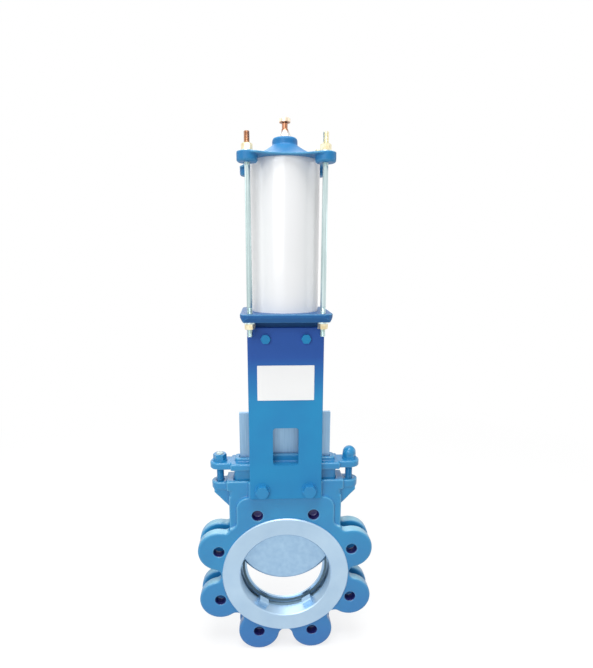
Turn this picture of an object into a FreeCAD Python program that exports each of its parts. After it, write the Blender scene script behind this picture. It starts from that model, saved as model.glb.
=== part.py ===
import FreeCAD, Part
import math
import os

# Pneumatic knife gate valve, DN150, lug body drilled PN10.
# Millimetres.  X is across the valve, +Y runs downstream along the bore, +Z is up.
# The origin is the centre of the inlet raised face, on the bore axis.

V = FreeCAD.Vector

# --- flow end -------------------------------------------------------------
face_to_face = 57.0
port_r = 66.0               # bore of the seat
mouth_step = 10.0           # the inlet mouth is wider than the seat's bore by this much
back_step = 10.0            # the port opens out behind the seat ...
outlet_step = 18.0          # ... and again up to the outlet face
liner_wall = 4.0
seat_wall = 11.0
seat_lip = 4.0              # straight part of the seat's bore
seat_flange = 9.0
seal_w = 4.0
seal_depth = 3.7
raised_face_h = 3.0
bolt_circle = 240.0
bolt_count = 8
bolt_thread = 20.0
bolt_pitch = 2.5
face_to_bolts = 14.0        # from the rim of the raised face to the bolt circle
lug_r = 35.0
lug_plate = 18.0            # thickness of the front and of the rear lug plate
valley_depth = 12.0         # from the bolt circle in to the plate between two lugs
hub_inset = 10.0            # from the rim of the raised face in to the barrel between the plates
edge_round = 3.0
wedge_w = 17.0
wedge_l = 14.0
wedge_angle = 32.0
wedge_reach = 8.0           # how far a wedge stands into the mouth
wedge_chamfer = 1.5

# --- gate -----------------------------------------------------------------
gate_side_lap = 7.0         # how far the gate reaches past the port on each side
gate_t = 8.0
edge_margin = 15.0          # radius of the knife edge beyond half the gate's width
gate_bottom_z = -23.0       # lowest point of the knife edge, part open
gate_height = 303.0
knife_bevel = 5.0
seat_overlap = 10.0         # how far the closed gate reaches below the port
chamber_below = 2.0         # room left under the closed gate
tongue_w = 48.0
tongue_h = 14.0
guide_wall = 5.0
guide_lap = 3.5
guide_low_z = 20.0

# --- body neck, stuffing box and top flange -------------------------------
neck_wall = 14.0
neck_setback = 5.0          # the neck stands this far behind the lug plates' faces
neck_round = 8.0
pad_inset = 12.0            # raised chest between the lugs and the yoke, inside the neck's sides
pad_over_circle = 23.0      # top of the chest above the bolt circle's top
pad_corner_r = 20.0
lug_neck_fillet = 8.0
neck_h = 27.0               # from the top of the chest to the top of the flange
flange_t = 18.0
flange_lip = 3.0
flange_ear_r = 14.0
ear_drop = 4.0              # the ears' top lies this far below the flange's
bracket_drop = 34.0
bracket_half = 12.0
bracket_inset = 4.0
chamber_t = 20.0
box_depth = 48.0
packing = 10.0              # section of the square packing
packing_rings = 3
box_corner_r = 6.0

# --- gland ----------------------------------------------------------------
gland_t = 11.0
gland_ear_r = 16.0
gland_half_y = 22.0
gland_side = 15.0           # how far the gland's bar reaches past the gate's edges
gland_gap = 19.0            # from the body flange up to the gland flange
gland_travel = 6.0          # how far the gland can be pulled down on its packing
gland_rim_h = 6.0
gland_rim_wall = 8.0
collar_w = 104.0            # raised middle of the rim, between the yoke plates
collar_h = 12.0             # clears the clevis of the closed gate
stud_offset = 14.0          # from the side of the neck out to a gland stud
gland_thread = 12.0
gland_pitch = 1.75
gland_flats = 19.0
gland_nut_h = 9.0
gland_washer_r = 12.0
cap_nut_r = 11.0
cap_nut_h = 8.0
cap_dome_r = 10.6
cap_dome_lap = 2.0
washer_t = 2.0
stud_tip = 2.0

# --- yoke -----------------------------------------------------------------
yoke_w = 114.0
yoke_t = 8.0
yoke_gap = 1.0              # between the chest and the lower end of the plates
yoke_h = 276.0
yoke_edge_round = 1.5
window_w = 40.0
window_h = 62.0
window_rise = 58.0          # lower edge of the window above the plate's lower end
window_corner_r = 5.0
lower_bolt_x = 37.5
lower_bolt_rise = 15.5
lower_thread = 12.0
lower_flats = 19.0
lower_head_h = 7.5
lower_washer_r = 12.0
lower_bolt_depth = 9.0
upper_bolt_x = 30.0
upper_bolt_drop = 17.0
upper_thread = 8.0
upper_flats = 13.0
upper_head_h = 5.3
upper_bolt_depth = 14.0
head_plate_t = 10.0
head_h = 32.0
head_rise = 10.0            # how far the yoke head stands above the plates, up to the cylinder
head_side_gap = 3.0         # beside the clevis, in the notch of the yoke head
nameplate_w = 86.0
nameplate_h = 54.0
nameplate_t = 0.8
nameplate_corner_r = 1.0
nameplate_drop = 84.0       # middle of the nameplate below the plate's upper end

# --- cylinder -------------------------------------------------------------
tube_bore_r = 46.5
tube_wall = 3.5
tube_length = 208.0
cover_edge = 16.0           # how far the covers reach past the tube
lower_cover_t = 12.0
cover_bevel_w = 4.5
cover_bevel_h = 7.0
nose_wall = 7.0             # wall of the lower cover's nose round the rod
nose_recess = 1.0
spigot_h = 4.0
oring_d = 2.6
upper_plate_t = 3.0
corner_boss_r = 14.0
corner_boss_drop = 9.5
corner_boss_rise = 0.5
scallop = 10.0
scallop_lap = 2.0           # how far a scallop runs into the corner bosses
dome_h = 19.0
dome_waist = 33.0           # radius and height at which the dome's slope turns up
dome_waist_h = 8.0
top_boss_r = 18.0
top_boss_h = 10.0
top_boss_round = 4.0
cushion_r = 21.0            # pocket in the upper cover for the piston nut
cushion_h = 18.0
tie_thread = 8.0
tie_chamfer = 1.2
tie_below = 21.0            # how far a tie rod sticks out under the lower cover
tie_above = 25.0
tie_flats = 13.0
tie_nut_h = 8.0
tie_washer_r = 8.0
tie_hole_gap = 0.25
port_r_side = 4.3           # lower air port, tapped G1/8
port_depth = 14.0
port_r_top = 5.9            # upper air port, tapped G1/4
port_depth_top = 14.0
air_way_r = 2.5
air_way_x = 38.0            # distance of the lower air way from the cylinder axis

# --- air fitting ----------------------------------------------------------
nipple_bore_r = 2.0
nipple_thread_h = 13.0
nipple_shoulder_r = 9.5
nipple_shoulder_h = 2.0
nipple_waist_r = 6.6        # half way down the flare
nipple_neck_r = 4.0
nipple_neck_z = 12.5        # heights above the boss
nipple_cap_r = 7.8
nipple_cap_low_z = 19.0
nipple_cap_high_z = 20.0
nipple_h = 25.5
nipple_edge = 0.8

# --- piston, rod and clevis ----------------------------------------------
piston_t = 36.0
piston_rest = 3.0           # room left under the piston when the gate is closed
piston_gap = 0.3
piston_seal_h = 5.0
piston_groove = 5.0
wear_ring_h = 8.0
wear_ring_t = 3.0
rod_r = 10.0
rod_thread_r = 8.0
rod_flats = 24.0
piston_nut_h = 12.0
thread_end = 2.0            # how far the rod's thread stands out of the piston nut
bush_wall = 3.0
seal_wall = 6.0
seal_h = 7.0
seal_recess = 1.0
wiper_wall = 4.4
wiper_h = 4.0
clevis_w = 34.0
clevis_depth = 37.0
clevis_h = 43.0
clevis_lap = 14.0           # how far the fork reaches down over the gate
clevis_round = 4.0
tongue_gap = 1.0
pin_r = 7.0
pin_rise = 2.0
pin_end = 2.5
pin_groove = 1.0
clip_t = 1.5
clip_stand = 2.5
locknut_h = 8.0
locknut_gap = 1.0

# --- fits -----------------------------------------------------------------
slide_gap = 0.3             # gate in its guides, wedges, seat and clevis
fit_gap = 0.05              # shafts, liners and rings in their holes
packing_gap = 0.1
gland_slot_gap = 0.8

# --- worked out from the values above: flow end and gate ------------------
mid_y = face_to_face / 2
mouth_r = port_r + mouth_step
seat_back_r = port_r + back_step
outlet_r = port_r + outlet_step
liner_outer_r = mouth_r + liner_wall
seat_outer_r = port_r + seat_wall
seat_flange_r = seat_outer_r + seat_flange
raised_face_r = bolt_circle / 2 - face_to_bolts
valley_r = bolt_circle / 2 - valley_depth
hub_r = raised_face_r - hub_inset
gate_w = 2 * (port_r + gate_side_lap)
gate_edge_r = gate_w / 2 + edge_margin
gate_top_z = gate_bottom_z + gate_height
gate_front_y = mid_y - gate_t / 2
gate_back_y = mid_y + gate_t / 2
closed_drop = gate_bottom_z + port_r + seat_overlap
plate_front_y = raised_face_h
plate_back_y = face_to_face - raised_face_h
chamber_front_y = mid_y - chamber_t / 2
chamber_back_y = mid_y + chamber_t / 2
chamber_half_x = gate_w / 2 + guide_wall
liner_end_y = gate_front_y - slide_gap
seat_front_y = gate_back_y + slide_gap
seat_back_y = (chamber_back_y + plate_back_y) / 2

# --- worked out: neck, gland and yoke -------------------------------------
neck_w = 2 * (chamber_half_x + neck_wall)
pad_w = neck_w - 2 * pad_inset
pad_top_z = bolt_circle / 2 + pad_over_circle
flange_w = neck_w + 2 * flange_lip
flange_top_z = pad_top_z + neck_h
stud_x = neck_w / 2 + stud_offset
box_half_x = gate_w / 2 + packing_gap + packing + packing_gap
box_half_y = gate_t / 2 + packing_gap + packing + packing_gap
box_floor_z = flange_top_z - box_depth
packing_top_z = box_floor_z + packing_rings * packing
gland_w = gate_w + 2 * gland_side
gland_low_z = flange_top_z + gland_gap
gland_top_z = gland_low_z + gland_t
gland_nut_z = gland_top_z + washer_t
yoke_front_y = plate_front_y - yoke_t
yoke_back_y = plate_back_y + yoke_t
yoke_bottom_z = pad_top_z + yoke_gap
yoke_top_z = yoke_bottom_z + yoke_h
window_low_z = yoke_bottom_z + window_rise
lower_bolt_z = yoke_bottom_z + lower_bolt_rise
upper_bolt_z = yoke_top_z - upper_bolt_drop
nameplate_z = yoke_top_z - nameplate_drop

# --- worked out: cylinder, rod and clevis ---------------------------------
tube_r = tube_bore_r + tube_wall
cover_w = 2 * (tube_r + cover_edge)
tie_rod_x = cover_w / 2 - corner_boss_r
rod_corners = [(sx * tie_rod_x, mid_y + sy * tie_rod_x) for sx in (-1, 1) for sy in (-1, 1)]
lower_cover_z = yoke_top_z + head_rise
tube_low_z = lower_cover_z + lower_cover_t
tube_high_z = tube_low_z + tube_length
cover_top_z = tube_high_z + upper_plate_t
corner_top_z = cover_top_z + corner_boss_rise
boss_low_z = cover_top_z + dome_h
boss_top_z = boss_low_z + top_boss_h
nose_r = rod_r + nose_wall
nose_end_z = yoke_top_z - head_plate_t + nose_recess
rod_seal_z = tube_low_z + spigot_h - seal_h - seal_recess
piston_low_z = tube_low_z + spigot_h + closed_drop + piston_rest
piston_high_z = piston_low_z + piston_t
clevis_low_z = gate_top_z - clevis_lap
clevis_high_z = clevis_low_z + clevis_h
clevis_slot_z = gate_top_z + tongue_h + tongue_gap
pin_z = gate_top_z + pin_rise
clip_front_y = mid_y - clevis_depth / 2 - clip_t
clip_back_y = mid_y + clevis_depth / 2

touch = 1e-4                # two places nearer than this are the same place
hex_bevel = 0.8             # share of a hexagon's corners that is turned off


# --- small helpers --------------------------------------------------------
def block(x0, x1, y0, y1, z0, z1):
    return Part.makeBox(x1 - x0, y1 - y0, z1 - z0, V(x0, y0, z0))


def slab(half_x, y0, y1, z0, z1):
    """A block centred on the YZ plane."""
    return block(-half_x, half_x, y0, y1, z0, z1)


def rod_y(r, y0, y1, x=0.0, z=0.0):
    return Part.makeCylinder(r, y1 - y0, V(x, y0, z), V(0, 1, 0))


def rod_z(r, z0, z1, x=0.0, y=mid_y):
    return Part.makeCylinder(r, z1 - z0, V(x, y, z0), V(0, 0, 1))


def ring_z(r_in, r_out, z0, z1, x=0.0, y=mid_y):
    return rod_z(r_out, z0, z1, x, y).cut(rod_z(r_in, z0, z1, x, y))


def ring_y(r_in, r_out, y0, y1, x=0.0, z=0.0):
    return rod_y(r_out, y0, y1, x, z).cut(rod_y(r_in, y0, y1, x, z))


def turned_y(profile):
    """A solid turned about the bore axis from (radius, y) points."""
    wire = Part.makePolygon([V(r, y, 0) for r, y in profile + profile[:1]])
    return Part.Face(wire).revolve(V(0, 0, 0), V(0, 1, 0), 360)


def turned_z(profile):
    """A solid turned about the cylinder axis from (radius, z) points."""
    wire = Part.makePolygon([V(r, mid_y, z) for r, z in profile + profile[:1]])
    return Part.Face(wire).revolve(V(0, mid_y, 0), V(0, 0, 1), 360)


def joined(shapes):
    whole = shapes[0].multiFuse(shapes[1:]) if len(shapes) > 1 else shapes[0]
    return whole.removeSplitter()


def group(shapes):
    return Part.makeCompound(shapes)


def edges_at(shape, axis, value):
    """The edges that lie wholly in the plane axis = value."""
    low, high = axis + "Min", axis + "Max"
    return [e for e in shape.Edges
            if abs(getattr(e.BoundBox, low) - value) < touch
            and abs(getattr(e.BoundBox, high) - value) < touch]


def edges_along(shape, axis):
    """The straight edges that run along the given axis."""
    def runs(edge):
        spans = {a: getattr(edge.BoundBox, a + "Length") for a in "XYZ"}
        return spans.pop(axis) > touch > max(spans.values())
    return [e for e in shape.Edges if runs(e)]


def hexagon(across_flats, low, high, to_place):
    """A six-sided prism along Z with its corners turned off, then placed."""
    r = across_flats / math.sqrt(3)
    corners = [V(r * math.cos(math.radians(60 * k)), r * math.sin(math.radians(60 * k)), low)
               for k in range(7)]
    prism = Part.Face(Part.makePolygon(corners)).extrude(V(0, 0, high - low))
    turned = Part.makeCylinder(r, high - low, V(0, 0, low))
    bevel = r - across_flats / 2
    turned = turned.makeChamfer(bevel * hex_bevel, edges_at(turned, "Z", high))
    head = prism.common(turned)
    head.Placement = to_place
    return head


def upright(x, y):
    return FreeCAD.Placement(V(x, y, 0), FreeCAD.Rotation())


def facing(x, y, z, front):
    """Places a shape made along +Z so that it points to -Y, or to +Y at the back."""
    turn = 90 if front else -90
    return FreeCAD.Placement(V(x, y, z), FreeCAD.Rotation(V(1, 0, 0), turn))


def nut(thread, across_flats, height, x, y, z):
    body = hexagon(across_flats, z, z + height, upright(x, y))
    return body.cut(rod_z(thread / 2 + fit_gap, z, z + height, x, y))


def washer(thread, outer_r, x, y, z):
    return ring_z(thread / 2 + fit_gap, outer_r, z, z + washer_t, x, y)


def hex_bolt(thread, across_flats, head_h, seat_y, end_y, x, z):
    """A hex bolt along Y whose head stands on seat_y and whose shank ends at end_y."""
    head = hexagon(across_flats, 0, head_h, facing(x, seat_y, z, end_y > seat_y))
    shank = rod_y(thread / 2, min(seat_y, end_y), max(seat_y, end_y), x, z)
    return head.fuse(shank).removeSplitter()


def save(name, shape):
    if not shape.isValid():
        raise ValueError("invalid solid: " + name)
    shape.exportStep(os.path.join("parts", name + ".step"))


# --- body -----------------------------------------------------------------
def arc(start, through, end):
    return Part.Arc(V(start[0], 0, start[1]), V(through[0], 0, through[1]),
                    V(end[0], 0, end[1])).toShape()


def line(start, end):
    return Part.makeLine(V(start[0], 0, start[1]), V(end[0], 0, end[1]))


def toward(a, b, distance):
    """The point that lies the given distance from a in the direction of b."""
    length = math.hypot(b[0] - a[0], b[1] - a[1])
    return (a[0] + (b[0] - a[0]) * distance / length, a[1] + (b[1] - a[1]) * distance / length)


def lug_centres():
    """The six lugs below the neck, clockwise from the upper right one."""
    step = 360.0 / bolt_count
    angles = [math.radians(step / 2 - step * k) for k in range(bolt_count - 2)]
    return [(bolt_circle / 2 * math.cos(a), bolt_circle / 2 * math.sin(a)) for a in angles]


def neck_fillet_z():
    """Height of the centre of the fillet between the neck and the upper lugs."""
    lug = lug_centres()[0]
    reach = neck_w / 2 + lug_neck_fillet - lug[0]
    return lug[1] + math.sqrt((lug_r + lug_neck_fillet) ** 2 - reach ** 2)


def lug_plate_outline():
    """Six round lugs joined by tangent valleys, closed by the sides of the neck."""
    lugs = lug_centres()
    half_step = math.radians(180.0 / bolt_count)
    along = bolt_circle / 2 * math.cos(half_step)
    across = bolt_circle / 2 * math.sin(half_step)
    dip = along - valley_r
    valley = (dip ** 2 + across ** 2 - lug_r ** 2) / (2 * (lug_r + dip))
    side = neck_w / 2
    fillet_z = neck_fillet_z()
    right = (side + lug_neck_fillet, fillet_z)
    left = (-right[0], fillet_z)

    start = toward(lugs[0], right, lug_r)
    edges = [line((-side, pad_top_z), (side, pad_top_z)), line((side, pad_top_z), (side, fillet_z)),
             arc((side, fillet_z), toward(right, (side, start[1]), lug_neck_fillet), start)]
    for here, after in zip(lugs, lugs[1:]):
        middle = ((here[0] + after[0]) / 2, (here[1] + after[1]) / 2)
        hollow = toward((0.0, 0.0), middle, valley_r + valley)
        leave, arrive = toward(here, hollow, lug_r), toward(after, hollow, lug_r)
        edges.append(arc(start, toward((0.0, 0.0), here, bolt_circle / 2 + lug_r), leave))
        edges.append(arc(leave, toward((0.0, 0.0), middle, valley_r), arrive))
        start = arrive
    end = toward(lugs[-1], left, lug_r)
    edges.append(arc(start, toward((0.0, 0.0), lugs[-1], bolt_circle / 2 + lug_r), end))
    edges.append(arc(end, toward(left, (-side, end[1]), lug_neck_fillet), (-side, fillet_z)))
    edges.append(line((-side, fillet_z), (-side, pad_top_z)))
    return Part.Face(Part.Wire(edges))


def chest_mask():
    """What the outer layer of a lug plate keeps: the lugs, and the chest pad above them."""
    low = neck_fillet_z()
    half, side = pad_w / 2, neck_w / 2
    flare = side - half
    bend = 1 - math.sqrt(0.5)
    lugs = slab(bolt_circle, 0, face_to_face, -bolt_circle, low)
    pad = slab(half, 0, face_to_face, 0, pad_top_z)
    upper = [e for e in edges_along(pad, "Y") if e.BoundBox.ZMin > pad_top_z / 2]
    pad = pad.makeFillet(pad_corner_r, upper)
    wings = []
    for s in (-1, 1):
        wing = Part.Wire([
            line((s * half, low), (s * side, low)),
            arc((s * side, low), (s * (half + flare * bend), low + flare * bend),
                (s * half, low + flare)),
            line((s * half, low + flare), (s * half, low))])
        wings.append(Part.Face(wing).extrude(V(0, face_to_face, 0)))
    return joined([lugs, pad] + wings)


def lug_plates():
    """The front and the rear plate, each with rounded lugs and a raised chest."""
    outline = lug_plate_outline()
    mask = chest_mask()
    plates = []
    for y0 in (plate_front_y, plate_back_y - lug_plate):
        plate = outline.translated(V(0, y0, 0)).extrude(V(0, lug_plate, 0))
        outer_y = plate_front_y if y0 == plate_front_y else plate_back_y
        faces = edges_at(plate, "Y", y0) + edges_at(plate, "Y", y0 + lug_plate)
        rounded = plate.makeFillet(edge_round, [e for e in faces if e.BoundBox.ZMax < pad_top_z - touch])
        step = neck_setback if y0 == plate_front_y else -neck_setback
        low, high = sorted((outer_y, outer_y + step))
        layer = slab(bolt_circle, low, high, -bolt_circle, bolt_circle)
        plates.append(joined([rounded.cut(layer), rounded.common(layer).common(mask)]))
    return plates


def ear_plan(half_body_x, y_half, ear_r, z0, z1):
    """A flat bar with a round ear about each gland stud."""
    bar = slab(half_body_x, mid_y - y_half, mid_y + y_half, z0, z1)
    neck = slab(stud_x, mid_y - ear_r, mid_y + ear_r, z0, z1)
    ears = [rod_z(ear_r, z0, z1, s * stud_x) for s in (-1, 1)]
    return joined([bar, neck] + ears)


def rounded_slab(half_x, half_y, z0, z1, corner):
    bar = slab(half_x, mid_y - half_y, mid_y + half_y, z0, z1)
    return bar.makeFillet(corner, edges_along(bar, "Z"))


def gate_chamber():
    """The space that the gate travels in, open at the top into the stuffing box."""
    edge_r = gate_edge_r + chamber_below
    centre_z = gate_bottom_z - closed_drop + gate_edge_r
    drop = math.sqrt(edge_r ** 2 - chamber_half_x ** 2)
    left, right = -chamber_half_x, chamber_half_x
    shape = Part.Face(Part.Wire([
        line((left, box_floor_z), (right, box_floor_z)),
        line((right, box_floor_z), (right, centre_z - drop)),
        arc((right, centre_z - drop), (0, centre_z - edge_r), (left, centre_z - drop)),
        line((left, centre_z - drop), (left, box_floor_z))]))
    return shape.translated(V(0, chamber_front_y, 0)).extrude(V(0, chamber_t, 0))


def bolt_holes():
    """Tapped holes on the bolt circle: the six lugs right through, the top two blind."""
    r = (bolt_thread - bolt_pitch) / 2
    holes = [rod_y(r, plate_front_y, plate_back_y, x, z) for x, z in lug_centres()]
    step = math.radians(180.0 / bolt_count)
    x, z = bolt_circle / 2 * math.sin(step), bolt_circle / 2 * math.cos(step)
    depth = chamber_front_y - plate_front_y - raised_face_h
    for sx in (-x, x):
        holes.append(rod_y(r, plate_front_y, plate_front_y + depth, sx, z))
        holes.append(rod_y(r, plate_back_y - depth, plate_back_y, sx, z))
    return holes


def flange_bracket(side):
    """The tapered web under an ear of the top flange."""
    root = side * (neck_w / 2 - bracket_inset)
    tip = side * (stud_x + flange_ear_r - bracket_inset)
    top = flange_top_z - flange_t
    points = [(root, top), (tip, top), (tip, top - bracket_inset), (root, top - bracket_drop)]
    wire = Part.makePolygon([V(x, mid_y - bracket_half, z) for x, z in points + points[:1]])
    return Part.Face(wire).extrude(V(0, 2 * bracket_half, 0))


def make_body():
    neck_front, neck_back = plate_front_y + neck_setback, plate_back_y - neck_setback
    neck = slab(neck_w / 2, neck_front, neck_back, 0, flange_top_z)
    neck = neck.makeFillet(neck_round, edges_along(neck, "Z"))
    seat = slab(yoke_w / 2 + edge_round, plate_front_y, plate_back_y,
                pad_top_z - pad_corner_r, flange_top_z)
    seat = seat.makeFillet(edge_round, edges_along(seat, "Z"))
    hub = rod_y(hub_r, plate_front_y + edge_round, plate_back_y - edge_round)
    flange_low_z = flange_top_z - flange_t
    ears = ear_plan(flange_w / 2, neck_back - mid_y, flange_ear_r, flange_low_z,
                    flange_top_z - ear_drop)
    ears = ears.makeFillet(edge_round, edges_at(ears, "Z", flange_low_z))
    bar = slab(flange_w / 2, neck_front, neck_back, flange_low_z + edge_round, flange_top_z)
    brackets = [flange_bracket(s) for s in (-1, 1)]
    solid = joined(lug_plates() + [neck, seat, hub, ears, bar] + brackets)

    cuts = [gate_chamber(),
            rounded_slab(box_half_x, box_half_y, box_floor_z, flange_top_z, box_corner_r),
            rod_y(liner_outer_r + fit_gap, plate_front_y, liner_end_y),
            rod_y(seat_flange_r + fit_gap, chamber_back_y, plate_back_y)]
    cuts += bolt_holes()
    stud_hole = gland_thread / 2 + fit_gap
    cuts += [rod_z(stud_hole, flange_low_z - bracket_drop, flange_top_z, s * stud_x) for s in (-1, 1)]
    bolt_hole = lower_thread / 2 + fit_gap
    for x in (-lower_bolt_x, lower_bolt_x):
        cuts.append(rod_y(bolt_hole, plate_front_y, plate_front_y + lower_bolt_depth, x, lower_bolt_z))
        cuts.append(rod_y(bolt_hole, plate_back_y - lower_bolt_depth, plate_back_y, x, lower_bolt_z))
    return solid.cut(group(cuts)).removeSplitter()


# --- flow path ------------------------------------------------------------
def make_inlet_liner():
    lip = raised_face_h / 2
    return turned_y([(mouth_r + lip, 0), (raised_face_r - lip, 0), (raised_face_r, lip),
                     (raised_face_r, raised_face_h), (liner_outer_r, raised_face_h),
                     (liner_outer_r, liner_end_y), (mouth_r, liner_end_y), (mouth_r, lip)])


def make_outlet_ring():
    lip = raised_face_h / 2
    return turned_y([(outlet_r, face_to_face), (raised_face_r - lip, face_to_face),
                     (raised_face_r, face_to_face - lip), (raised_face_r, plate_back_y),
                     (seat_flange_r, plate_back_y), (seat_flange_r, seat_back_y),
                     (seat_back_r, seat_back_y)])


def seat_groove():
    """Inner radius, outer radius and back of the seal's groove in the seat ring."""
    wall = (seat_wall - seal_w) / 2
    return port_r + wall, seat_outer_r - wall, seat_front_y + seal_depth


def make_seat_ring():
    r_in, r_out, back = seat_groove()
    return turned_y([(port_r, seat_front_y), (r_in, seat_front_y), (r_in, back), (r_out, back),
                     (r_out, seat_front_y), (seat_outer_r, seat_front_y),
                     (seat_outer_r, chamber_back_y), (seat_flange_r, chamber_back_y),
                     (seat_flange_r, seat_back_y), (seat_back_r, seat_back_y),
                     (port_r, seat_front_y + seat_lip)])


def make_seat_seal():
    r_in, r_out, back = seat_groove()
    return ring_y(r_in, r_out, seat_front_y, back)


def make_gate_wedges():
    """Two blocks low in the mouth that press the closed gate on its seat."""
    start = liner_end_y - wedge_l
    wedges = []
    for side in (-1, 1):
        wedge = slab(wedge_w / 2, start, liner_end_y, -liner_outer_r, wedge_reach - mouth_r)
        wedge = wedge.makeChamfer(wedge_chamfer, [e for e in edges_along(wedge, "X")
                                                  if e.BoundBox.ZMin > -mouth_r])
        wedge.rotate(V(0, 0, 0), V(0, 1, 0), -side * wedge_angle)
        wedges.append(wedge.common(rod_y(mouth_r, start, liner_end_y)))
    return group(wedges)


def make_gate_guides():
    """Channel strips that hold the gate's edges, one in each side of the chamber."""
    slot_front, slot_back = gate_front_y - slide_gap, gate_back_y + slide_gap
    guides = []
    inner, outer = gate_w / 2 - guide_lap, chamber_half_x - fit_gap
    bottom = gate_w / 2 + slide_gap
    for side in (-1, 1):
        x0, x1 = sorted((side * inner, side * outer))
        s0, s1 = sorted((side * inner, side * bottom))
        strip = block(x0, x1, chamber_front_y, chamber_back_y, guide_low_z, box_floor_z)
        strip = strip.cut(block(s0, s1, slot_front, slot_back, guide_low_z, box_floor_z))
        strip = strip.cut(rod_y(liner_outer_r + slide_gap, chamber_front_y, gate_front_y))
        guides.append(strip.cut(rod_y(seat_outer_r + slide_gap, gate_back_y, chamber_back_y)))
    return group(guides)


def make_gate():
    half = gate_w / 2
    centre_z = gate_bottom_z + gate_edge_r
    corner_z = centre_z - math.sqrt(gate_edge_r ** 2 - half ** 2)
    plate = Part.Face(Part.Wire([
        line((-half, corner_z), (-half, gate_top_z)), line((-half, gate_top_z), (half, gate_top_z)),
        line((half, gate_top_z), (half, corner_z)),
        arc((half, corner_z), (0, gate_bottom_z), (-half, corner_z))]))
    plate = plate.translated(V(0, gate_front_y, 0)).extrude(V(0, gate_t, 0))
    knife = [e for e in edges_at(plate, "Y", gate_front_y) if e.BoundBox.ZMax < corner_z + touch]
    plate = plate.makeChamfer(knife_bevel, knife)
    tongue = slab(tongue_w / 2, gate_front_y, gate_back_y, gate_top_z, gate_top_z + tongue_h)
    upper = [e for e in edges_along(tongue, "Y") if e.BoundBox.ZMin > gate_top_z + touch]
    tongue = tongue.makeFillet(clevis_round, upper)
    return joined([plate, tongue]).cut(rod_y(pin_r + fit_gap, gate_front_y, gate_back_y, 0, pin_z))


# --- stuffing box ---------------------------------------------------------
def make_packing_rings():
    rings = []
    for k in range(packing_rings):
        z0 = box_floor_z + k * packing
        outer = rounded_slab(box_half_x - packing_gap, box_half_y - packing_gap, z0, z0 + packing,
                             box_corner_r - packing_gap)
        rings.append(outer.cut(gate_slot(packing_gap, z0, z0 + packing)))
    return group(rings)


def gate_slot(gap, z0, z1):
    return slab(gate_w / 2 + gap, gate_front_y - gap, gate_back_y + gap, z0, z1)


def make_gland():
    nose = rounded_slab(box_half_x - slide_gap, box_half_y - slide_gap, packing_top_z, gland_low_z,
                        box_corner_r - slide_gap)
    flange = ear_plan(gland_w / 2, gland_half_y, gland_ear_r, gland_low_z, gland_top_z)
    flange = flange.makeFillet(edge_round, edges_at(flange, "Z", gland_top_z))
    rim = rounded_slab(gate_w / 2 + gland_rim_wall, gate_t / 2 + gland_rim_wall,
                       gland_top_z, gland_top_z + gland_rim_h, box_corner_r)
    collar = rounded_slab(collar_w / 2, gate_t / 2 + gland_rim_wall,
                          gland_top_z, gland_top_z + collar_h, box_corner_r)
    solid = joined([nose, flange, rim, collar])
    solid = solid.cut(gate_slot(gland_slot_gap, packing_top_z, gland_top_z + collar_h))
    for side in (-1, 1):
        solid = solid.cut(rod_z(gland_thread / 2 + slide_gap, gland_low_z, gland_top_z, side * stud_x))
    return solid


def make_gland_studs():
    """The left stud shows its tip above its nut; the right one ends inside its cap nut."""
    low = flange_top_z - flange_t
    tops = {-1: gland_nut_z + gland_nut_h + stud_tip, 1: gland_nut_z + cap_nut_h}
    studs = []
    for side, top in tops.items():
        stud = rod_z(gland_thread / 2, low, top, side * stud_x)
        studs.append(stud.makeChamfer(gland_pitch / 2, edges_at(stud, "Z", top)))
    return group(studs)


def make_gland_hex_nut():
    return nut(gland_thread, gland_flats, gland_nut_h, -stud_x, mid_y, gland_nut_z)


def make_gland_cap_nut():
    z = gland_nut_z
    skirt = hexagon(gland_flats, z, z + cap_nut_h, upright(stud_x, mid_y))
    skirt = skirt.common(rod_z(cap_nut_r, z, z + cap_nut_h, stud_x))
    dome = Part.makeSphere(cap_dome_r, V(stud_x, mid_y, z + cap_nut_h))
    dome = dome.common(rod_z(cap_nut_r, z + cap_nut_h - cap_dome_lap, z + cap_nut_h + cap_dome_r, stud_x))
    hole = rod_z(gland_thread / 2 + fit_gap, z, z + cap_nut_h + gland_travel + slide_gap, stud_x)
    return joined([skirt, dome]).cut(hole)


def make_gland_washers():
    return group([washer(gland_thread, gland_washer_r, s * stud_x, mid_y, gland_top_z)
                  for s in (-1, 1)])


# --- yoke -----------------------------------------------------------------
def make_yoke_plate(y0):
    plate = slab(yoke_w / 2, y0, y0 + yoke_t, yoke_bottom_z, yoke_top_z)
    plate = plate.makeFillet(edge_round, edges_along(plate, "Y"))
    outer = y0 if y0 < mid_y else y0 + yoke_t
    plate = plate.makeFillet(yoke_edge_round, edges_at(plate, "Y", outer))
    window = slab(window_w / 2, y0, y0 + yoke_t, window_low_z, window_low_z + window_h)
    window = window.makeFillet(window_corner_r, edges_along(window, "Y"))
    holes = [window]
    for s in (-1, 1):
        holes.append(rod_y(lower_thread / 2 + slide_gap, y0, y0 + yoke_t,
                           s * lower_bolt_x, lower_bolt_z))
        holes.append(rod_y(upper_thread / 2 + slide_gap, y0, y0 + yoke_t,
                           s * upper_bolt_x, upper_bolt_z))
    return plate.cut(group(holes))


def make_yoke_lower_bolts():
    bolts = []
    for x in (-lower_bolt_x, lower_bolt_x):
        bolts.append(hex_bolt(lower_thread, lower_flats, lower_head_h, yoke_front_y - washer_t,
                              plate_front_y + lower_bolt_depth, x, lower_bolt_z))
        bolts.append(hex_bolt(lower_thread, lower_flats, lower_head_h, yoke_back_y + washer_t,
                              plate_back_y - lower_bolt_depth, x, lower_bolt_z))
    return group(bolts)


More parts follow.
